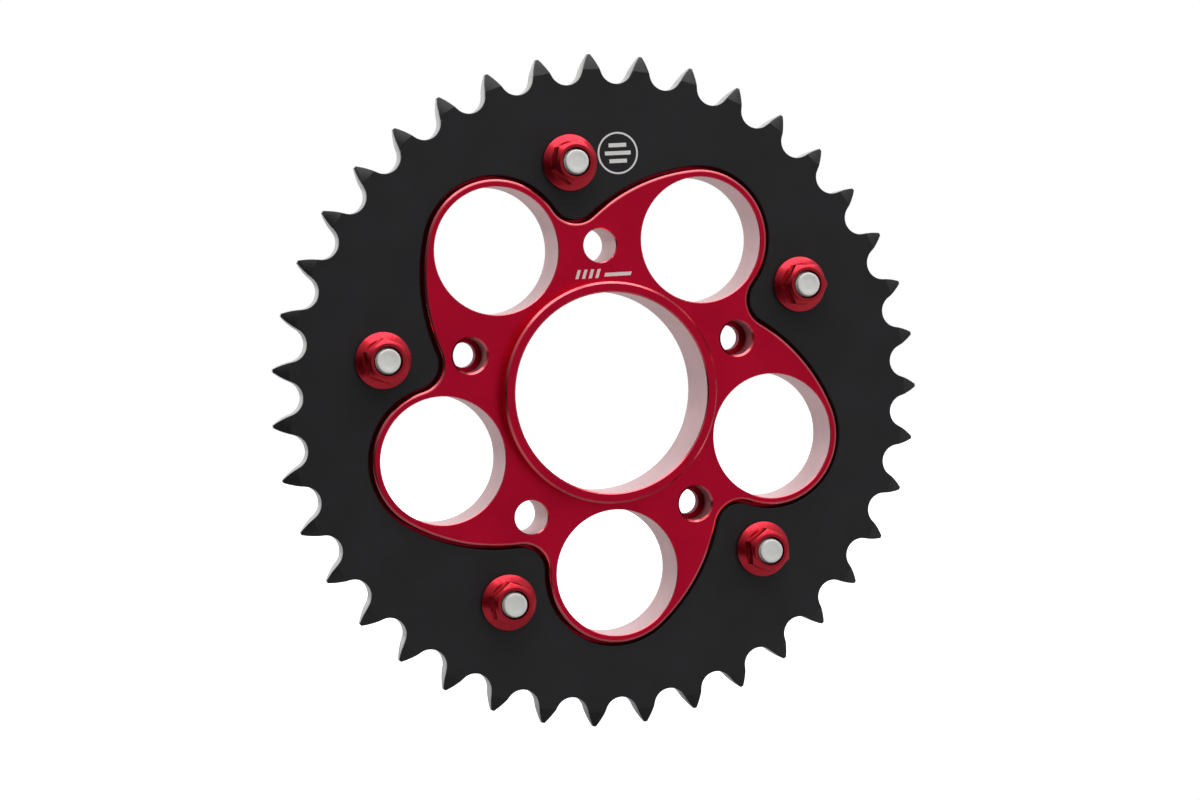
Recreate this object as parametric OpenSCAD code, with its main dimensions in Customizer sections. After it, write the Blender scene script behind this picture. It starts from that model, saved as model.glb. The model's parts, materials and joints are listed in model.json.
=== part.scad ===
// Motorcycle rear sprocket: a toothed ring bolted to a five-lobed cush-drive carrier.
// The axle runs along Y and the nuts face -Y. The origin is on the axle at the chain line,
// which is the middle of the ring's thickness. A hub hole stands at twelve o'clock.

/* [Toothed ring] */
// Number of teeth
teeth = 39; // [37:1:45]
// Pitch of the chain, pin to pin
chain_pitch = 15.875; // [15.875, 19.05]
// Diameter of the chain's rollers
roller_d = 10.16; // [10:0.02:10.3]
// Thickness of the ring
ring_t = 5.8; // [5:0.1:7]
// Height of the tooth tips over the pitch circle
tooth_rise = 3.85; // [3.4:0.05:4.1]
// Radius of the tooth flanks
flank_r = 22; // [21:0.5:26]
// Width of the bevel at the tooth tips, measured along the radius
bevel_w = 4.7; // [3:0.1:6]
// Depth of the bevel into each face at the tip
bevel_depth = 2; // [1:0.1:2.3]
// Gap all round between the ring and the carrier's lobes
ring_gap = 0.9; // [0.4:0.1:1.5]
// Turn of the teeth from a tip at twelve o'clock
tooth_turn = -0.4; // [-4.6:0.1:4.6]

/* [Carrier] */
// Thickness of the carrier from its front face to its back face
carrier_t = 15; // [13:0.5:20]
// How far the carrier's front face stands proud of the ring
face_step = 1.2; // [0.4:0.1:2]
// Diameter of the bore that fits over the hub
bore_d = 60.8; // [56:0.1:62]
// Outside diameter of the collar round the bore
collar_d = 67.2; // [66:0.1:68]
// Height of the collar over the front face
collar_h = 5; // [2:0.5:6]
// Lead-in chamfer at the back of the bore
bore_lead = 1.6; // [0.5:0.1:2]
// Diameter of the cush-drive holes
cush_d = 38.5; // [36:0.1:39]
// Diameter of the circle through their centres
cush_pcd = 110.3; // [109:0.1:111]
// Rim left round a cush-drive hole
rim_t = 2.35; // [2:0.05:3]
// Radius of the long side that sweeps away from each lobe
sweep_r = 56.8; // [54:0.1:60]
// Direction in which a lobe's rim passes into its long side
sweep_turn = 39; // [37:0.5:41]
// Radius of the valley between two lobes
valley_r = 8.3; // [7:0.1:9]
// How far the back flange reaches past the lobes, behind the ring
seat_w = 3; // [2:0.5:4]

/* [Hub holes] */
// Diameter of the circle through the five hub holes
hub_pcd = 89.2; // [88.5:0.1:90]
// Diameter of the hub holes at the front
hub_hole_d = 10.3; // [9:0.1:10.5]
// Diameter of the narrow web inside the three stepped holes
web_hole_d = 7.6; // [6:0.1:8]
// Depth from the front face at which that web begins
web_start = 8.5; // [6:0.1:9]
// Thickness of that web
web_t = 2.8; // [2:0.1:4]

/* [Studs and nuts] */
// Diameter of the circle through the studs
stud_pcd = 140.8; // [140:0.1:142]
// Turn of the studs from the lobes
stud_turn = 42.5; // [41:0.5:44]
// Diameter of the thread
thread_d = 7.9; // [7.5:0.1:8]
// Diameter of the plain shoulder that centres the ring
shoulder_d = 10; // [9:0.1:11]
// Diameter of the head
head_d = 14; // [13:0.5:16]
// Height of the stud's end over the ring's face
stud_reach = 8.9; // [8.5:0.1:10]
// Width of the nut across its flats
nut_af = 12; // [11.5:0.1:13]
// Height of the nut
nut_h = 8; // [7:0.1:8.2]
// Diameter of the nut's flange
flange_d = 17; // [16:0.1:19]

/* [Hidden] */
$fn = 96;
LOBES = 5;
STEP = 360 / LOBES;
OVER = 1;               // how far a cutter runs past a face
ARC_ERROR = 0.02;       // how far an arc's chords may lie off it
FIRST_LOBE = 54;        // direction of the first lobe, so that a hub hole is on top
SEAT_RATIO = 0.505;     // radius of a roller seat over the roller's diameter
SEAT_ANGLE = 137.7;     // opening of a roller seat for this many teeth

// Heights along the axle, measured forwards from the chain line
ring_front = ring_t / 2;
ring_back = -ring_t / 2;
face_front = ring_front + face_step;
face_back = face_front - carrier_t;
collar_top = face_front + collar_h;

// Ring: the roller seat and the flank that leaves it, for a gap between teeth that lies along X
pitch_r = chain_pitch / (2 * sin(180 / teeth));
tip_r = pitch_r + tooth_rise;
seat_c = [pitch_r, 0];
seat_r = SEAT_RATIO * roller_d;
seat_end = 180 - SEAT_ANGLE / 2;
flank_c = seat_c + polar(seat_r + flank_r, seat_end);
flank_tip = meet([0, 0], tip_r, flank_c, flank_r);

// Carrier outline
rim_r = cush_d / 2 + rim_t;
lobe_c = [cush_pcd / 2, 0];
next_c = polar(cush_pcd / 2, STEP);
sweep_c = lobe_c - polar(sweep_r - rim_r, sweep_turn);
valley_c = meet(sweep_c, sweep_r + valley_r, next_c, rim_r + valley_r);

// Back flange
ear_r = 11.5;
ear_fillet = 6;
stud_c = polar(stud_pcd / 2, stud_turn);

// Hub holes, anticlockwise from the top one: false for a plain hole, true for a stepped one
hub_hole_stepped = [false, true, false, true, true];
hole_chamfer = 0.6;
rim_chamfer = 0.4;

// Studs and nuts
FIT = 0.05;             // radial clearance of a shank in its hole
HEAD_GAP = 0.15;        // the same for a head in its recess
head_t = 3;
head_sink = 0.4;        // the head lies this far below the carrier's back face
head_seat = face_back + head_sink + head_t;
shoulder_sink = 0.3;    // the shoulder ends this far below the ring's front face
shoulder_top = ring_front - shoulder_sink;
thread_chamfer = 0.6;
nut_rim_t = 1.3;
nut_cone_h = 2.5;
nut_cone_r = 6.4;
NUT_BEVEL = 30;         // slope of the bevel that cuts the nut's corners
top_inset = 0.8;        // the nut's round top lies this far inside its flats
nut_top_r = nut_af / 2 - top_inset;
nut_turns = [57, 17, 35, 37, 34];  // direction of a corner of each nut, as it was tightened

function polar(r, a) = [r * cos(a), r * sin(a)];
function direction(v) = atan2(v[1], v[0]);
function turned(v, a) = [v[0] * cos(a) - v[1] * sin(a), v[0] * sin(a) + v[1] * cos(a)];

// The point at distance r1 from c1 and r2 from c2 that lies to the right of the way from c1 to c2
function meet(c1, r1, c2, r2) =
  let (l = norm(c2 - c1), u = (c2 - c1) / l, a = (r1 * r1 - r2 * r2 + l * l) / (2 * l))
  c1 + a * u + sqrt(r1 * r1 - a * a) * [u[1], -u[0]];

// Points along an arc about c, from direction a0 to a1, anticlockwise if way is 1 and clockwise if it is -1
function arc(c, r, a0, a1, way) =
  let (span = (way * (a1 - a0) % 360 + 360) % 360, n = ceil(span / (2 * acos(1 - ARC_ERROR / r))))
  [for (i = [0 : n]) c + polar(r, a0 + way * span * i / n)];

// Repeats a path for each of n equal sectors, turned into its place
function around(n, path) = [for (k = [0 : n - 1], v = path) turned(v, 360 * k / n)];

// One lobe of the outline grown by g: round the rim, along the sweep and through the valley
function lobe_path(g) = concat(
  arc(lobe_c, rim_r + g, direction(turned(valley_c, -STEP) - lobe_c), sweep_turn, 1),
  arc(sweep_c, sweep_r + g, sweep_turn, direction(valley_c - sweep_c), 1),
  arc(valley_c, valley_r - g, direction(sweep_c - valley_c), direction(next_c - valley_c), -1)
);

// One fifth of the flange: round the rim, along the sweep and round the ear for a stud
function flange_path(g) =
  let (
    before_c = meet(sweep_c, sweep_r + g + ear_fillet, stud_c, ear_r + ear_fillet),
    after_c = meet(stud_c, ear_r + ear_fillet, next_c, rim_r + g + ear_fillet)
  )
  concat(
    arc(lobe_c, rim_r + g, direction(turned(after_c, -STEP) - lobe_c), sweep_turn, 1),
    arc(sweep_c, sweep_r + g, sweep_turn, direction(before_c - sweep_c), 1),
    arc(before_c, ear_fillet, direction(sweep_c - before_c), direction(stud_c - before_c), -1),
    arc(stud_c, ear_r, direction(before_c - stud_c), direction(after_c - stud_c), 1),
    arc(after_c, ear_fillet, direction(stud_c - after_c), direction(next_c - after_c), -1)
  );

// The space between two teeth, from tip to tip: one side is worked out and the other mirrors it
function gap_path() =
  let (
    side = concat(
      arc(seat_c, seat_r, 180, seat_end, -1),
      arc(flank_c, flank_r, seat_end - 180, direction(flank_tip - flank_c), 1)
    ),
    last = len(side) - 1
  )
  concat([for (i = [last : -1 : 1]) [side[i][0], -side[i][1]]], side);

// Stands a shape that is drawn face-on upright: its height then points forwards, along -Y
module upright() {
  rotate([90, 0, 0]) children();
}

// Repeats a shape once for each lobe
module each_lobe() {
  for (k = [0 : LOBES - 1]) rotate(FIRST_LOBE + STEP * k) children();
}

// The lobed outline, grown by g
module lobes(g) {
  rotate(FIRST_LOBE) polygon(around(LOBES, lobe_path(g)));
}

module ring_outline() {
  difference() {
    rotate(90 + tooth_turn + 180 / teeth) polygon(around(teeth, gap_path()));
    lobes(ring_gap);
    each_lobe() translate(stud_c) circle(shoulder_d / 2 + FIT);
  }
}

// The turned blank of the ring, with its bevels
module ring_blank() {
  rotate_extrude() polygon([
    [0, ring_back],
    [tip_r - bevel_w, ring_back],
    [tip_r, ring_back + bevel_depth],
    [tip_r, ring_front - bevel_depth],
    [tip_r - bevel_w, ring_front],
    [0, ring_front]
  ]);
}

module sprocket_ring() {
  color([0.15, 0.15, 0.155]) upright() intersection() {
    ring_blank();
    translate([0, 0, ring_back - OVER]) linear_extrude(ring_t + 2 * OVER) ring_outline();
  }
}

// A cutter that chamfers a hole of diameter d by c where it comes out of the front face at z
module front_chamfer(d, z, c) {
  translate([0, 0, z - c]) cylinder(r1 = d / 2, r2 = d / 2 + c + OVER, h = c + OVER);
}

// The same for the back face
module back_chamfer(d, z, c) {
  translate([0, 0, z - OVER]) cylinder(r1 = d / 2 + c + OVER, r2 = d / 2, h = c + OVER);
}

// A cutter for a through hole of diameter d between two faces
module through(d, z0, z1) {
  translate([0, 0, z0 - OVER]) cylinder(d = d, h = z1 - z0 + 2 * OVER);
}

// A hub hole, which is plain all the way or leaves a narrow web inside
module hub_hole(stepped) {
  web_front = face_front - web_start;
  through(stepped ? web_hole_d : hub_hole_d, face_back, face_front);
  front_chamfer(hub_hole_d, face_front, stepped ? hole_chamfer : hole_chamfer / 2);
  back_chamfer(hub_hole_d, face_back, rim_chamfer);
  if (stepped) {
    translate([0, 0, web_front]) cylinder(d = hub_hole_d, h = web_start + OVER);
    translate([0, 0, face_back - OVER]) cylinder(d = hub_hole_d, h = web_front - web_t - face_back + OVER);
  }
}

// The hole for a stud, with a recess for its head
module stud_hole() {
  through(shoulder_d + 2 * FIT, face_back, ring_back);
  translate([0, 0, face_back - OVER]) cylinder(d = head_d + 2 * HEAD_GAP, h = head_seat - face_back + OVER);
}

module carrier() {
  color([0.6, 0.05, 0.1]) upright() difference() {
    union() {
      translate([0, 0, face_back]) linear_extrude(carrier_t) lobes(0);
      translate([0, 0, face_back]) linear_extrude(ring_back - face_back) {
        rotate(FIRST_LOBE) polygon(around(LOBES, flange_path(seat_w)));
      }
      translate([0, 0, face_front - OVER]) cylinder(d = collar_d, h = collar_h + OVER - hole_chamfer);
      translate([0, 0, collar_top - hole_chamfer]) {
        cylinder(r1 = collar_d / 2, r2 = collar_d / 2 - hole_chamfer, h = hole_chamfer);
      }
    }
    through(bore_d, face_back, collar_top);
    front_chamfer(bore_d, collar_top, rim_chamfer);
    back_chamfer(bore_d, face_back, bore_lead);
    each_lobe() {
      translate(lobe_c) {
        through(cush_d, face_back, face_front);
        front_chamfer(cush_d, face_front, rim_chamfer / 2);
        back_chamfer(cush_d, face_back, rim_chamfer);
      }
      translate(stud_c) stud_hole();
    }
    for (k = [0 : LOBES - 1]) rotate(FIRST_LOBE + STEP * (k + 0.5)) {
      translate([hub_pcd / 2, 0]) hub_hole(hub_hole_stepped[k]);
    }
  }
}

// Stands a shape on the axis of stud number k
module at_stud(k) {
  upright() rotate(FIRST_LOBE + STEP * (k - 2)) translate(stud_c) children();
}

// A headed stud: head at the back, shoulder through the ear and the ring, thread for the nut
module stud(k) {
  top = ring_front + stud_reach;
  thread_r = thread_d / 2;
  color([0.75, 0.75, 0.72]) at_stud(k) rotate_extrude() polygon([
    [0, head_seat - head_t],
    [head_d / 2 - rim_chamfer, head_seat - head_t],
    [head_d / 2, head_seat - head_t + rim_chamfer],
    [head_d / 2, head_seat],
    [shoulder_d / 2, head_seat],
    [shoulder_d / 2, shoulder_top - rim_chamfer],
    [shoulder_d / 2 - rim_chamfer, shoulder_top],
    [thread_r, shoulder_top],
    [thread_r, top - thread_chamfer],
    [thread_r - thread_chamfer, top],
    [0, top]
  ]);
}

// A flanged nut: a round flange that rises as a cone into the hexagon
module nut(k) {
  corner_r = nut_af / (2 * cos(30));
  bore = thread_d + 2 * FIT;
  color([0.65, 0.06, 0.12]) at_stud(k) translate([0, 0, ring_front]) difference() {
    union() {
      cylinder(d = flange_d, h = nut_rim_t);
      translate([0, 0, nut_rim_t]) cylinder(r1 = flange_d / 2, r2 = nut_cone_r, h = nut_cone_h - nut_rim_t);
      intersection() {
        rotate(nut_turns[k - 1] - FIRST_LOBE - STEP * (k - 2)) cylinder(r = corner_r, h = nut_h, $fn = 6);
        rotate_extrude() polygon([
          [0, 0],
          [corner_r + OVER, 0],
          [corner_r + OVER, nut_h - (corner_r + OVER - nut_top_r) * tan(NUT_BEVEL)],
          [nut_top_r, nut_h],
          [0, nut_h]
        ]);
      }
    }
    through(bore, 0, nut_h);
    front_chamfer(bore, nut_h, rim_chamfer);
    back_chamfer(bore, 0, rim_chamfer);
  }
}

sprocket_ring();
carrier();
for (k = [1 : LOBES]) {
  stud(k);
  nut(k);
}
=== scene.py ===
import json
import math

import bmesh
import bpy
from bpy.props import FloatProperty, FloatVectorProperty, PointerProperty
from bpy.types import Operator, Panel, PropertyGroup
from mathutils import Matrix, Vector


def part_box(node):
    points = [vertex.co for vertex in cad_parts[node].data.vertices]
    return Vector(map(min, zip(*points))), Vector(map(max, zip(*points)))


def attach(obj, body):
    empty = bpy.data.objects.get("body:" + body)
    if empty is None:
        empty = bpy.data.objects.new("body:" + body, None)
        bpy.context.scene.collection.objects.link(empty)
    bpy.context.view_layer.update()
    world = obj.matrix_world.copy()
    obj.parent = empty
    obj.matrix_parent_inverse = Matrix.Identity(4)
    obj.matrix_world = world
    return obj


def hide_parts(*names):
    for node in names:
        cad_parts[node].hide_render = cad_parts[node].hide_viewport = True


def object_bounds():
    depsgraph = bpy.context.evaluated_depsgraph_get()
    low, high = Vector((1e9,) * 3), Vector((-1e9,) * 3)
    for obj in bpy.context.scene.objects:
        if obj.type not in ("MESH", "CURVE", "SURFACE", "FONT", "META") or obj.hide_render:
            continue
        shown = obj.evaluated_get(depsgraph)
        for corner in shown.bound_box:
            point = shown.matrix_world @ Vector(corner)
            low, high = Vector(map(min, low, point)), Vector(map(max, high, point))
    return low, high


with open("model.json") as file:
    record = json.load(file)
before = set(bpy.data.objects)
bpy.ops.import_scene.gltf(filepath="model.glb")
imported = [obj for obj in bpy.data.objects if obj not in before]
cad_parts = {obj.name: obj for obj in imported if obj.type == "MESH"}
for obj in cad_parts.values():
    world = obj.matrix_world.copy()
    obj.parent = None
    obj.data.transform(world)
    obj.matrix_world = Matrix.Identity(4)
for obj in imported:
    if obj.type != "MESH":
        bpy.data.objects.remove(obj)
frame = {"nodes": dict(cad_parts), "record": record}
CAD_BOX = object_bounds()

bl_info = {
    "name": "Rear sprocket",
    "version": (1, 0, 0),
    "blender": (4, 5, 0),
    "location": "View3D > Sidebar > Sprocket",
    "description": "A black toothed ring on a red lobed carrier, with five studs and flanged nuts",
    "category": "Object",
}

BODY = "root"
COUNT = 5               # lobes, hub holes, studs and nuts
MM = 0.001

# Tolerances of the mesh work
WELD = 0.001 * MM       # points closer than this are one point
SLIVER = 0.01 * MM      # edges shorter than this are taken out before teeth are rounded
ON_FACE = 0.02 * MM     # how far a point may lie off a face that it belongs to
ON_WALL = 0.12 * MM     # the same for the wall of a hole

# Faces that meet at less than the first are one flat, and at more than the second a crisp line
FLAT_ANGLE = math.radians(0.6)
SHARP_ANGLE = math.radians(32)

# Corners sharper than these are rounded
NUT_ANGLE = math.radians(18)
TOOTH_ANGLE = math.radians(40)
SQUARE_ANGLE = math.radians(80)

# Lean of a face: 0 for a wall that runs along the axle, 1 for a flat that is square to it
WALL_LEAN = 0.2
TOOTH_WALL_LEAN = 0.3
CHAMFER_LEAN = (0.3, 0.95)
# Countersink and bore faces of a nut that lean less than this get painted shade
MOUTH_LEAN = 0.9
FACE_LEAN = 0.999
TRUE_FACE_LEAN = 0.9999

# Sizes of the patterns in the finishes
CLOUD_SIZE = 14 * MM
WEAR_SIZE = 1.6 * MM
SCRATCH_STRETCH = (60, 60, 1)
SCRATCH_WAYS = ((0.5, 0.16 * MM), (-0.9, 0.2 * MM))

# Stage
FLOOR_GAP = 0.2 * MM    # the floor lies this far below the lowest tooth

# Teeth and nuts
TOOTH_ZONE = 13 * MM    # the teeth lie within this of the ring's outside
# Inside this radius the countersink and bore faces of a nut get painted shade
NUT_MOUTH = 4.4 * MM    # radius of the countersink in a nut
NUT_HEX = 4.8 * MM      # everything further out than this is the outside of a nut

# The round mark on the ring: its centre, its circle as (radius, line width) and its bars as
# (height over the centre, width)
RING_MARK = (7.6 * MM, 72.2 * MM)
RING_MARK_CIRCLE = (6.4 * MM, 0.55 * MM)
RING_MARK_BARS = ((2.4 * MM, 5.6 * MM), (0, 8.2 * MM), (-2.4 * MM, 5.6 * MM))
RING_MARK_BAR_HEIGHT = 1.2 * MM

# The mark on the carrier: short leaning bars and one long bar, as (x, z, width, height)
SHORT_BARS = 4
SHORT_BAR = (-7.4 * MM, 36.1 * MM, 1.0 * MM, 2.7 * MM)
SHORT_BAR_STEP = 2.1 * MM
LONG_BAR = (5.2 * MM, 35.6 * MM, 8.4 * MM, 1.1 * MM)
BAR_LEAN = 0.35

# Studs: how finely they are made, their plain end and shoulder, and the form of the thread groove
STUD_SIDES = 48
THREAD_ROWS = 110
POINT_LENGTH = 1.1 * MM
SHOULDER_SINK = 0.3 * MM
GROOVE_WIDTH = 1.125
GROOVE_SLOPE = 2.5

# Where things are, read from the frame
RING_LOW, RING_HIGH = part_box("sprocket_ring")
RING_FRONT = RING_LOW.y
CARRIER_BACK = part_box("carrier")[1].y
MOUNTS = {m["name"]: m for m in frame["record"]["mounts"]}


def mount_place(name):
    """Centre and radius of a round mount, as seen from the front."""
    mount = MOUNTS[name]
    x, _, z = mount["pos_m"]
    return x, z, mount["dims"]["r_mm"] * MM


BORE = mount_place("hub_bore")
CUSH_HOLES = [mount_place(f"cush_hole_{k + 1}") for k in range(COUNT)]
HUB_RING = MOUNTS["hub_hole_circle"]["dims"]
HUB_HOLE_R = HUB_RING["hole_r_mm"] * MM
HUB_CIRCLE_R = HUB_RING["pcd_mm"] / 2 * MM
STEP = 2 * math.pi / COUNT
HUB_HOLES = [
    (-HUB_CIRCLE_R * math.sin(STEP * k), HUB_CIRCLE_R * math.cos(STEP * k), HUB_HOLE_R)
    for k in range(COUNT)
]
PLAIN_HUB_HOLES = (HUB_HOLES[0], HUB_HOLES[2])
STEPPED_HUB_HOLES = (HUB_HOLES[1], HUB_HOLES[3], HUB_HOLES[4])


class SprocketSizes(PropertyGroup):
    """Sizes of the details that the finished pieces add to the frame."""

    outline_round: FloatProperty(
        name="Carrier outline", description="Rounding along the carrier's front outline",
        default=0.9 * MM, unit="LENGTH",
    )
    ring_round: FloatProperty(
        name="Ring inner edge",
        description="Rounding along the ring's inner outline and the carrier's back outline",
        default=0.45 * MM, unit="LENGTH",
    )
    tooth_round: FloatProperty(
        name="Tooth edge", description="Rounding along the edges of the teeth",
        default=0.18 * MM, unit="LENGTH",
    )
    nut_round: FloatProperty(
        name="Nut edges", description="Rounding of the edges of a nut",
        default=0.22 * MM, unit="LENGTH",
    )
    thread_pitch: FloatProperty(
        name="Thread pitch", description="Pitch of the thread of the studs",
        default=1.25 * MM, unit="LENGTH",
    )
    thread_depth: FloatProperty(
        name="Thread depth", description="Depth of the thread of the studs",
        default=0.62 * MM, unit="LENGTH",
    )
    head_height: FloatProperty(
        name="Head height", description="Height of a stud's head",
        default=3 * MM, unit="LENGTH",
    )
    shoulder_radius: FloatProperty(
        name="Shoulder radius", description="Radius of a stud's plain shoulder",
        default=5 * MM, unit="LENGTH",
    )
    thread_radius: FloatProperty(
        name="Thread radius", description="Outer radius of a stud's thread",
        default=3.93 * MM, unit="LENGTH",
    )
    point_radius: FloatProperty(
        name="Point radius", description="Radius of a stud's plain end",
        default=3.55 * MM, unit="LENGTH",
    )
    mark_height: FloatProperty(
        name="Mark height", description="How far the etched marks stand over the face",
        default=0.015 * MM, unit="LENGTH",
    )


class SprocketColours(PropertyGroup):
    """Colours of the finishes."""

    black: FloatVectorProperty(
        name="Black anodising", description="Colour of the ring", subtype="COLOR",
        default=(0.0145, 0.0138, 0.016), min=0, max=1,
    )
    red: FloatVectorProperty(
        name="Red anodising", description="Colour of the carrier", subtype="COLOR",
        default=(0.74, 0.009, 0.046), min=0, max=1,
    )
    edge: FloatVectorProperty(
        name="Cut edge", description="Colour of the carrier's cut edges", subtype="COLOR",
        default=(0.7, 0.1, 0.12), min=0, max=1,
    )
    nut_red: FloatVectorProperty(
        name="Nut red", description="Colour of the nuts", subtype="COLOR",
        default=(0.52, 0.008, 0.024), min=0, max=1,
    )
    aluminium: FloatVectorProperty(
        name="Bare aluminium", description="Colour of the machined walls", subtype="COLOR",
        default=(0.84, 0.6, 0.615), min=0, max=1,
    )
    steel: FloatVectorProperty(
        name="Bare teeth", description="Colour of the bare walls between the teeth", subtype="COLOR",
        default=(0.72, 0.72, 0.71), min=0, max=1,
    )
    zinc: FloatVectorProperty(
        name="Zinc plate", description="Colour of the studs", subtype="COLOR",
        default=(0.93, 0.93, 0.9), min=0, max=1,
    )
    mark: FloatVectorProperty(
        name="Etched mark", description="Colour of the etched marks", subtype="COLOR",
        default=(0.86, 0.86, 0.84), min=0, max=1,
    )
    studio: FloatVectorProperty(
        name="Studio", description="Colour of the floor and the backdrop", subtype="COLOR",
        default=(0.35, 0.35, 0.35), min=0, max=1,
    )


# Finishes

def link_chain(tree, *sockets):
    """Joins sockets in pairs: out, in, out, in."""
    for out, into in zip(sockets[::2], sockets[1::2]):
        tree.links.new(out, into)


def noise_on(tree, place, size, stretch=(1, 1, 1), turn=0.0, detail=2.0):
    """Noise whose grains have the given size in metres; stretch lengthens them along an axis."""
    mapping = tree.nodes.new("ShaderNodeMapping")
    mapping.inputs["Scale"].default_value = [1 / s for s in stretch]
    mapping.inputs["Rotation"].default_value = (0, turn, 0)
    noise = tree.nodes.new("ShaderNodeTexNoise")
    noise.inputs["Scale"].default_value = 1 / size
    noise.inputs["Detail"].default_value = detail
    link_chain(tree, place, mapping.inputs["Vector"], mapping.outputs["Vector"], noise.inputs["Vector"])
    return noise.outputs["Fac"]


def ramp_on(tree, value, low, high, out_low, out_high):
    """Maps value from low..high to out_low..out_high, clamped."""
    node = tree.nodes.new("ShaderNodeMapRange")
    for key, number in zip(("From Min", "From Max", "To Min", "To Max"), (low, high, out_low, out_high)):
        node.inputs[key].default_value = number
    tree.links.new(value, node.inputs["Value"])
    return node.outputs["Result"]


def mix_on(tree, factor, one, two):
    """Mixes two colours; each is a socket or a plain colour."""
    node = tree.nodes.new("ShaderNodeMix")
    node.data_type = "RGBA"
    tree.links.new(factor, node.inputs[0])
    for socket, colour in ((node.inputs[6], one), (node.inputs[7], two)):
        if isinstance(colour, bpy.types.NodeSocket):
            tree.links.new(colour, socket)
        else:
            socket.default_value = (*colour, 1)
    return node.outputs[2]


def finish(name, colour, metallic, rough, grain, stretch=(1, 1, 1), depth=0.004, spread=0.06,
           shade=0.8, coat=0.0, coat_rough=0.1, specular=0.5, bare=None, wear=0.0, scratches=0.0):
    """A metal finish: clouds in the colour, grain in relief and gloss, scratches and worn spots.

    grain is the size of the relief in mm, stretch lengthens it along an axis, depth is its depth in mm.
    shade is how dark the clouds are, bare the colour of the metal where wear breaks through.
    """
    material = bpy.data.materials.new(name)
    material.use_nodes = True
    tree = material.node_tree
    shader = tree.nodes["Principled BSDF"]
    shader.inputs["Metallic"].default_value = metallic
    shader.inputs["Specular IOR Level"].default_value = specular
    shader.inputs["Coat Weight"].default_value = coat
    shader.inputs["Coat Roughness"].default_value = coat_rough
    place = tree.nodes.new("ShaderNodeTexCoord").outputs["Object"]
    clouds = noise_on(tree, place, CLOUD_SIZE, detail=3)
    fine = noise_on(tree, place, grain * MM, stretch)
    dark = darker(colour, shade)
    tint = mix_on(tree, ramp_on(tree, clouds, 0.35, 0.65, 0, 1), dark, colour)
    gloss = ramp_on(tree, fine, 0.25, 0.75, rough - spread, rough + spread)
    if scratches:
        marks = []
        for turn, size in SCRATCH_WAYS:
            lines = noise_on(tree, place, size, SCRATCH_STRETCH, turn, 1)
            marks.append(ramp_on(tree, lines, 0.74, 0.78, 0, scratches))
        both = tree.nodes.new("ShaderNodeMath")
        both.operation = "MAXIMUM"
        link_chain(tree, marks[0], both.inputs[0], marks[1], both.inputs[1])
        tint = mix_on(tree, both.outputs[0], tint, [min(1, 0.04 + c * 1.6) for c in colour])
    if wear:
        spots = noise_on(tree, place, WEAR_SIZE, detail=6)
        tint = mix_on(tree, ramp_on(tree, spots, 0.62, 0.72, 0, wear), tint, bare)
    bump = tree.nodes.new("ShaderNodeBump")
    bump.inputs["Strength"].default_value = 1
    bump.inputs["Distance"].default_value = depth * MM
    link_chain(
        tree,
        tint, shader.inputs["Base Color"],
        gloss, shader.inputs["Roughness"],
        fine, bump.inputs["Height"],
        bump.outputs["Normal"], shader.inputs["Normal"],
    )
    return material


# Mesh tools

def merged_copy(node):
    """A welded copy of a frame node's mesh, with its flat faces made whole."""
    bm = bmesh.new()
    bm.from_mesh(frame["nodes"][node].data)
    bmesh.ops.remove_doubles(bm, verts=bm.verts, dist=WELD)
    bmesh.ops.dissolve_limit(
        bm, angle_limit=FLAT_ANGLE, verts=bm.verts, edges=bm.edges, use_dissolve_boundaries=False
    )
    bm.normal_update()
    return bm


def drop_slivers(bm):
    """Takes out the shortest edges, which would stop a corner from being rounded."""
    bmesh.ops.remove_doubles(bm, verts=bm.verts, dist=SLIVER)
    bmesh.ops.dissolve_degenerate(bm, dist=SLIVER, edges=bm.edges)
    bm.normal_update()


def corners(bm, angle, test):
    """The outward corners of a mesh that are sharper than angle and pass the test."""
    return [
        e for e in bm.edges
        if e.is_manifold and e.is_convex and e.calc_face_angle(0) > angle and test(e)
    ]


def lies_at(y):
    """A test for the edges that lie in the flat at y."""
    return lambda e: all(abs(v.co.y - y) < ON_FACE for v in e.verts)


def round_off(bm, edges, width, steps, slot=-1, clamp=True):
    """Rounds edges by width; the new faces get the material in that slot."""
    if edges:
        bmesh.ops.bevel(
            bm, geom=edges, offset=width, offset_type="OFFSET", segments=steps, profile=0.5,
            affect="EDGES", clamp_overlap=clamp, material=slot,
        )
        bm.normal_update()


def middle(part):
    """The middle of a face or an edge."""
    return sum((v.co for v in part.verts), Vector()) / len(part.verts)


def from_axle(point):
    """Distance of a point from the axle."""
    return math.hypot(point.x, point.z)


def centre_of(node):
    """Where the axis of a round frame node stands, as x and z."""
    low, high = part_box(node)
    return (low.x + high.x) / 2, (low.z + high.z) / 2


def darker(colour, part):
    """The colour with only this part of its brightness."""
    return [c * part for c in colour]


def in_hole(point, holes):
    """Whether a point lies on the wall of one of the round holes, or inside it."""
    return any(math.hypot(point.x - x, point.z - z) < r + ON_WALL for x, z, r in holes)


def shade(bm):
    """Smooth shading over the curves, with crisp lines at corners and round the flat faces."""
    for face in bm.faces:
        face.smooth = True
    for edge in bm.edges:
        angle = edge.calc_face_angle(0)
        flat = any(abs(f.normal.y) > TRUE_FACE_LEAN for f in edge.link_faces)
        edge.smooth = not (angle > SHARP_ANGLE or (flat and angle > FLAT_ANGLE))


def make_piece(name, bm, materials, node):
    """Turns a bmesh into a piece that stands for a frame node."""
    shade(bm)
    mesh = bpy.data.meshes.new(name)
    bm.to_mesh(mesh)
    bm.free()
    custom = mesh.attributes.get("custom_normal")
    if custom:
        mesh.attributes.remove(custom)
    for material in materials:
        mesh.materials.append(material)
    piece = bpy.data.objects.new(name, mesh)
    bpy.context.scene.collection.objects.link(piece)
    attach(piece, BODY)
    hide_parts(node)


def upright(x, y, z):
    """Stands a flat shape face-on at a place, facing the front."""
    return Matrix.Translation((x, y, z)) @ Matrix.Rotation(math.radians(90), 4, "X")


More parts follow.
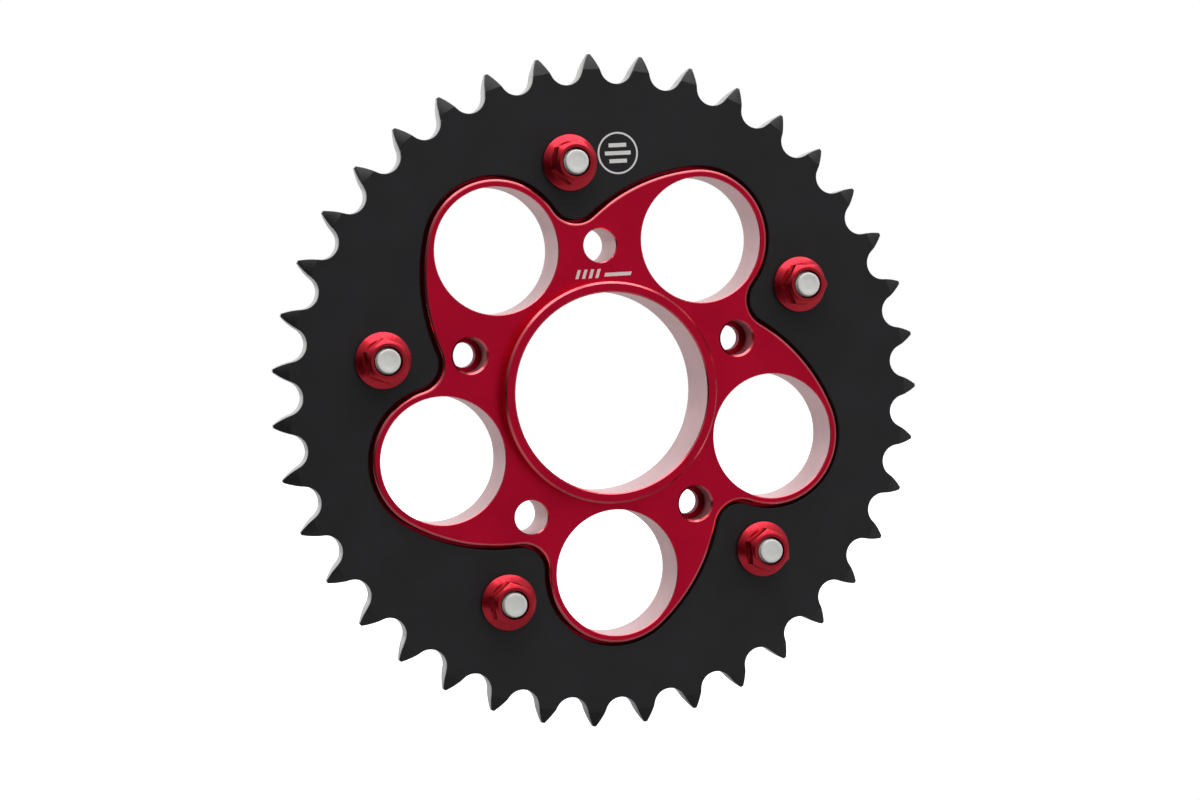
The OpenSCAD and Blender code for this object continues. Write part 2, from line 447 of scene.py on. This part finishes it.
def etch_circle(bm, x, y, z, radius, width, height, slot):
    """A thin etched circle on a face that lies at y."""
    made = bmesh.ops.create_circle(
        bm, cap_ends=True, radius=radius, segments=64, matrix=upright(x, y, z)
    )
    disc = made["verts"][0].link_faces[0]
    inset = bmesh.ops.inset_region(
        bm, faces=[disc], thickness=width, use_boundary=True, use_even_offset=True
    )
    band = inset["faces"]
    bmesh.ops.delete(bm, geom=[disc], context="FACES_ONLY")
    raised = bmesh.ops.extrude_face_region(bm, geom=band, use_keep_orig=True)["geom"]
    top = [v for v in raised if isinstance(v, bmesh.types.BMVert)]
    bmesh.ops.translate(bm, verts=top, vec=(0, -height, 0))
    island = list({f for v in made["verts"] + top for f in v.link_faces})
    bmesh.ops.recalc_face_normals(bm, faces=island)
    for face in island:
        face.material_index = slot


def etch_bar(bm, x, y, z, width, tall, lean, height, slot):
    """A thin etched bar on a face that lies at y; lean slants it."""
    shear = Matrix.Identity(4)
    shear[0][2] = lean
    place = Matrix.Translation((x, y, z)) @ shear @ Matrix.Diagonal((width, 2 * height, tall, 1))
    made = bmesh.ops.create_cube(bm, size=1, matrix=place)
    for face in {f for v in made["verts"] for f in v.link_faces}:
        face.material_index = slot


# Pieces

class SPROCKET_OT_ring(Operator):
    """Finishes the toothed ring"""

    bl_idname = "sprocket.ring"
    bl_label = "Toothed ring"

    def execute(self, context):
        sizes, colours = context.scene.sprocket_sizes, context.scene.sprocket_colours
        face, wall, edge, mark = range(4)
        materials = [
            finish("satin_black", colours.black, 0.0, 0.42, 0.22, depth=0.006, shade=0.82,
                   specular=0.3, scratches=0.05),
            finish("cut_tooth_wall", colours.steel, 1.0, 0.34, 0.12, (1, 40, 1), shade=0.86),
            finish("worn_black_edge", colours.black, 0.0, 0.3, 0.2, specular=0.6,
                   bare=colours.steel, wear=0.25),
            finish("etched_mark", colours.mark, 0.3, 0.5, 0.12, shade=0.9),
        ]
        bm = merged_copy("sprocket_ring")
        drop_slivers(bm)
        root_r = RING_HIGH.x - TOOTH_ZONE
        for f in bm.faces:
            cut = abs(f.normal.y) < TOOTH_WALL_LEAN and from_axle(middle(f)) > root_r
            f.material_index = wall if cut else face

        def across_axle(e):
            return abs((e.verts[0].co - e.verts[1].co).normalized().y) < 0.9

        teeth = corners(bm, TOOTH_ANGLE, lambda e: across_axle(e) and from_axle(middle(e)) > root_r)
        round_off(bm, teeth, sizes.tooth_round, 2, edge, clamp=False)
        inner = corners(bm, SQUARE_ANGLE, lambda e: across_axle(e) and from_axle(middle(e)) < root_r)
        round_off(bm, inner, sizes.ring_round, 3, face)
        height = sizes.mark_height
        x, z = RING_MARK
        etch_circle(bm, x, RING_FRONT, z, *RING_MARK_CIRCLE, height, mark)
        for rise, width in RING_MARK_BARS:
            etch_bar(bm, x, RING_FRONT, z + rise, width, RING_MARK_BAR_HEIGHT, 0, height, mark)
        make_piece("toothed_ring", bm, materials, "sprocket_ring")
        return {"FINISHED"}


class SPROCKET_OT_carrier(Operator):
    """Finishes the lobed carrier"""

    bl_idname = "sprocket.carrier"
    bl_label = "Lobed carrier"

    def execute(self, context):
        sizes, colours = context.scene.sprocket_sizes, context.scene.sprocket_colours
        face, wall, edge, painted_shade_wall, mark = range(5)
        materials = [
            finish("satin_red", colours.red, 1.0, 0.36, 0.16, (8, 1, 1), depth=0.004, shade=0.88,
                   scratches=0.04),
            finish("turned_wall", colours.aluminium, 1.0, 0.5, 0.14, (30, 1, 30), depth=0.003,
                   shade=0.92),
            finish("cut_red_edge", colours.edge, 1.0, 0.22, 0.14, coat=0.6, coat_rough=0.12,
                   bare=colours.aluminium, wear=0.12),
            # Painted shade: the stepped hub hole walls take the real anodised red, darkened to 30% as
            # painted shade inside the holes
            finish("red_hole_wall_painted_shade", darker(colours.red, 0.3), 1.0, 0.42, 0.14, (30, 1, 30)),
            finish("etched_word_bar", colours.mark, 0.3, 0.5, 0.12, shade=0.9),
        ]
        bm = merged_copy("carrier")
        front = self.front_face()
        for f in bm.faces:
            f.material_index = face
            where, lean = middle(f), abs(f.normal.y)
            if lean < WALL_LEAN and in_hole(where, [BORE, *CUSH_HOLES, *PLAIN_HUB_HOLES]):
                f.material_index = wall
            # Walls of the stepped hub holes get the red with painted shade
            elif in_hole(where, STEPPED_HUB_HOLES) and lean < FACE_LEAN:
                f.material_index = painted_shade_wall
            elif CHAMFER_LEAN[0] < lean < CHAMFER_LEAN[1]:
                f.material_index = edge
        round_off(bm, corners(bm, SQUARE_ANGLE, lies_at(front)), sizes.outline_round, 3, edge)
        round_off(bm, corners(bm, SQUARE_ANGLE, lies_at(CARRIER_BACK)), sizes.ring_round, 2, edge)
        height = sizes.mark_height
        first_x, short_z, short_width, short_tall = SHORT_BAR
        for k in range(SHORT_BARS):
            x = first_x + SHORT_BAR_STEP * k
            etch_bar(bm, x, front, short_z, short_width, short_tall, BAR_LEAN, height, mark)
        x, z, width, tall = LONG_BAR
        etch_bar(bm, x, front, z, width, tall, BAR_LEAN, height, mark)
        make_piece("lobed_carrier", bm, materials, "carrier")
        return {"FINISHED"}

    def front_face(self):
        """Height of the flat front face, which lies behind the collar's top."""
        beyond_collar = BORE[2] * 1.2
        faces = [f for f in frame["nodes"]["carrier"].data.polygons if f.normal.y < -FACE_LEAN]
        return max(faces, key=lambda f: f.area if from_axle(f.center) > beyond_collar else 0).center.y


class SPROCKET_OT_studs(Operator):
    """Makes the five threaded studs"""

    bl_idname = "sprocket.studs"
    bl_label = "Studs"

    def execute(self, context):
        sizes, colours = context.scene.sprocket_sizes, context.scene.sprocket_colours
        zinc = finish("bright_zinc", colours.zinc, 0.3, 0.34, 0.3, depth=0.004, shade=0.88, scratches=0.1)
        for k in range(COUNT):
            node = f"stud_{k + 1}"
            bm = self.blank(node, sizes)
            self.cut_thread(bm, node, sizes)
            make_piece(f"threaded_stud_{k + 1}", bm, [zinc], node)
        return {"FINISHED"}

    def blank(self, node, sizes):
        """A stud turned from its profile, from the middle of its end to the middle of its head."""
        low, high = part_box(node)
        x, z = centre_of(node)
        head_r = (high.x - low.x) / 2
        tip, back = low.y, high.y
        thread_end = RING_FRONT + SHOULDER_SINK
        point_r, point_end = sizes.point_radius, tip + POINT_LENGTH
        thread_start = point_end + sizes.thread_radius - point_r
        under_head = back - sizes.head_height
        thread = [
            (sizes.thread_radius, thread_start + (thread_end - thread_start) * i / THREAD_ROWS)
            for i in range(THREAD_ROWS + 1)
        ]
        profile = [
            # The dished and rounded end
            (0, tip + 0.14 * MM),
            (1.6 * MM, tip + 0.12 * MM),
            (2.3 * MM, tip + 0.05 * MM),
            (2.7 * MM, tip),
            (point_r - 0.3 * MM, tip),
            (point_r - 0.1 * MM, tip + 0.07 * MM),
            (point_r, tip + 0.25 * MM),
            (point_r, point_end),
            *thread,
            # The shoulder
            (sizes.shoulder_radius - 0.4 * MM, thread_end),
            (sizes.shoulder_radius, thread_end + 0.4 * MM),
            (sizes.shoulder_radius, under_head),
            # The head, with a shallow dimple
            (head_r - 0.3 * MM, under_head),
            (head_r, under_head + 0.3 * MM),
            (head_r, back - 0.5 * MM),
            (head_r - 0.15 * MM, back - 0.15 * MM),
            (head_r - 0.5 * MM, back),
            (2.2 * MM, back),
            (1.9 * MM, back - 0.3 * MM),
            (0, back - 0.4 * MM),
        ]
        bm = bmesh.new()
        verts = [bm.verts.new((x + r, y, z)) for r, y in profile]
        edges = [bm.edges.new(pair) for pair in zip(verts, verts[1:])]
        bmesh.ops.spin(
            bm, geom=verts + edges, cent=(x, 0, z), axis=(0, 1, 0), angle=2 * math.pi,
            steps=STUD_SIDES, use_merge=True,
        )
        bmesh.ops.remove_doubles(bm, verts=bm.verts, dist=WELD)
        bmesh.ops.recalc_face_normals(bm, faces=bm.faces)
        return bm

    def cut_thread(self, bm, node, sizes):
        """Sinks the plain shank into a thread that winds round it."""
        x, z = centre_of(node)
        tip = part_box(node)[0].y
        for v in bm.verts:
            radius = math.hypot(v.co.x - x, v.co.z - z)
            if abs(radius - sizes.thread_radius) > ON_FACE / 4:
                continue
            turn = math.atan2(v.co.z - z, v.co.x - x) / (2 * math.pi)
            phase = ((v.co.y - tip) / sizes.thread_pitch + turn) % 1
            groove = min(1, max(0, GROOVE_WIDTH - GROOVE_SLOPE * abs(phase - 0.5)))
            scale = (radius - sizes.thread_depth * groove) / radius
            v.co.x = x + (v.co.x - x) * scale
            v.co.z = z + (v.co.z - z) * scale
        bm.normal_update()


class SPROCKET_OT_nuts(Operator):
    """Finishes the five flanged nuts"""

    bl_idname = "sprocket.nuts"
    bl_label = "Flanged nuts"

    def execute(self, context):
        sizes, colours = context.scene.sprocket_sizes, context.scene.sprocket_colours
        red = finish("gloss_red_nut", colours.nut_red, 1.0, 0.3, 0.18, depth=0.004, coat=0.45,
                     coat_rough=0.16, shade=0.9, scratches=0.05)
        # Painted shade: the countersink and bore of each nut get the nut red at 12% brightness, a dark
        # ring round the stud
        mouth_painted_shade = finish("nut_mouth_painted_shade", darker(colours.nut_red, 0.12), 1.0, 0.4, 0.18)
        for k in range(COUNT):
            node = f"nut_{k + 1}"
            bm = merged_copy(node)
            x, z = centre_of(node)

            def off_centre(part):
                where = middle(part)
                return math.hypot(where.x - x, where.z - z)

            for f in bm.faces:
                # Countersink and bore faces near the centre get the painted shade in slot 1
                f.material_index = int(off_centre(f) < NUT_MOUTH and abs(f.normal.y) < MOUTH_LEAN)
            outside = corners(bm, NUT_ANGLE, lambda e: off_centre(e) > NUT_HEX)
            round_off(bm, outside, sizes.nut_round, 3)
            make_piece(f"flanged_nut_{k + 1}", bm, [red, mouth_painted_shade], node)
        return {"FINISHED"}


class SPROCKET_OT_stage(Operator):
    """Makes the floor, the backdrop, the lights and the camera"""

    bl_idname = "sprocket.stage"
    bl_label = "Studio"

    def execute(self, context):
        scene = context.scene
        scene.view_settings.view_transform = "Standard"
        scene.view_settings.look = "None"
        self.sweep(scene)
        self.lights(scene)
        self.camera(scene)
        return {"FINISHED"}

    def sweep(self, scene):
        """A pale floor under the object and a card behind it that lights the walls of the holes."""
        floor_z = CAD_BOX[0].z - FLOOR_GAP
        paper = self.paper("studio_paper", scene.sprocket_colours.studio)
        card = self.paper("studio_card", scene.sprocket_colours.studio, 0.62)
        for name, material, middle_point, size, turn in (
            ("studio_floor", paper, (0.3, 0.6, floor_z), (2.6, 1.44), 0),
            ("studio_card", card, (0.1, 1.3, 0.12), (2.1, 1.0), 90),
        ):
            bm = bmesh.new()
            place = Matrix.Translation(middle_point) @ Matrix.Rotation(math.radians(turn), 4, "X")
            bmesh.ops.create_grid(
                bm, x_segments=8, y_segments=8, size=0.5, matrix=place @ Matrix.Diagonal((*size, 1, 1))
            )
            mesh = bpy.data.meshes.new(name)
            bm.to_mesh(mesh)
            bm.free()
            mesh.materials.append(material)
            sheet = bpy.data.objects.new(name, mesh)
            scene.collection.objects.link(sheet)
            sheet.visible_camera = name == "studio_floor"

    def paper(self, name, colour, glow=None):
        """Studio paper: with no glow given it looks white by itself, but casts only its own colour."""
        paper = bpy.data.materials.new(name)
        paper.use_nodes = True
        tree = paper.node_tree
        shader = tree.nodes["Principled BSDF"]
        shader.inputs["Base Color"].default_value = (*colour, 1)
        shader.inputs["Roughness"].default_value = 0.9
        shader.inputs["Emission Color"].default_value = (1, 1, 1, 1)
        if glow is None:
            seen = tree.nodes.new("ShaderNodeLightPath").outputs["Is Camera Ray"]
            tree.links.new(seen, shader.inputs["Emission Strength"])
        else:
            shader.inputs["Emission Strength"].default_value = glow
        return paper

    def lights(self, scene):
        """A soft box above, and a surround that is darker on the left."""
        world = bpy.data.worlds.new("surround")
        world.use_nodes = True
        tree = world.node_tree
        split = tree.nodes.new("ShaderNodeSeparateXYZ")
        link_chain(tree, tree.nodes.new("ShaderNodeTexCoord").outputs["Generated"], split.inputs[0])
        side = ramp_on(tree, split.outputs["X"], -0.6, 0.35, 0.03, 0.42)
        above = ramp_on(tree, split.outputs["Z"], 0.1, 0.8, 0, 0.8)
        total = tree.nodes.new("ShaderNodeMath")
        shown = tree.nodes.new("ShaderNodeMath")
        shown.operation = "MAXIMUM"
        link_chain(
            tree, side, total.inputs[0], above, total.inputs[1],
            total.outputs[0], shown.inputs[0],
            tree.nodes.new("ShaderNodeLightPath").outputs["Is Camera Ray"], shown.inputs[1],
            shown.outputs[0], tree.nodes["Background"].inputs["Strength"],
        )
        tree.nodes["Background"].inputs["Color"].default_value = (1, 1, 1, 1)
        scene.world = world
        place = Vector((0.1, -0.2, 1.1))
        light = bpy.data.lights.new("top_box", "AREA")
        light.shape = "RECTANGLE"
        light.size, light.size_y = 1.8, 1.2
        light.energy = 15
        box = bpy.data.objects.new("top_box", light)
        box.location = place
        box.rotation_euler = (-place).to_track_quat("-Z", "Y").to_euler()
        scene.collection.objects.link(box)

    def camera(self, scene):
        """Camera seen from the front, left of the axle and a little above it."""
        yaw, pitch, roll = math.radians(17.016), math.radians(3.268), math.radians(-3.1)
        distance = 0.8561
        target = Vector((-0.001387, 0, -0.002466))
        forward = Vector((
            math.sin(yaw) * math.cos(pitch),
            math.cos(yaw) * math.cos(pitch),
            -math.sin(pitch),
        ))
        lens = bpy.data.cameras.new("camera")
        lens.sensor_width = 36
        lens.lens = 84.22
        lens.clip_start = 0.01
        camera = bpy.data.objects.new("camera", lens)
        turn = forward.to_track_quat("-Z", "Y").to_matrix().to_4x4() @ Matrix.Rotation(roll, 4, "Z")
        camera.matrix_world = Matrix.Translation(target - forward * distance) @ turn
        scene.collection.objects.link(camera)
        scene.camera = camera


STEPS = (SPROCKET_OT_ring, SPROCKET_OT_carrier, SPROCKET_OT_studs, SPROCKET_OT_nuts, SPROCKET_OT_stage)


class SPROCKET_PT_panel(Panel):
    """Lists the pieces of the sprocket"""

    bl_idname = "SPROCKET_PT_panel"
    bl_label = "Rear sprocket"
    bl_space_type = "VIEW_3D"
    bl_region_type = "UI"
    bl_category = "Sprocket"

    def draw(self, context):
        for step in STEPS:
            self.layout.operator(step.bl_idname)


CLASSES = (SprocketSizes, SprocketColours, *STEPS, SPROCKET_PT_panel)


def register():
    for cls in CLASSES:
        bpy.utils.register_class(cls)
    bpy.types.Scene.sprocket_sizes = PointerProperty(type=SprocketSizes)
    bpy.types.Scene.sprocket_colours = PointerProperty(type=SprocketColours)


def unregister():
    del bpy.types.Scene.sprocket_colours
    del bpy.types.Scene.sprocket_sizes
    for cls in reversed(CLASSES):
        bpy.utils.unregister_class(cls)


def main():
    register()
    bpy.ops.sprocket.ring()
    bpy.ops.sprocket.carrier()
    bpy.ops.sprocket.studs()
    bpy.ops.sprocket.nuts()
    bpy.ops.sprocket.stage()


if __name__ == "__main__":
    main()
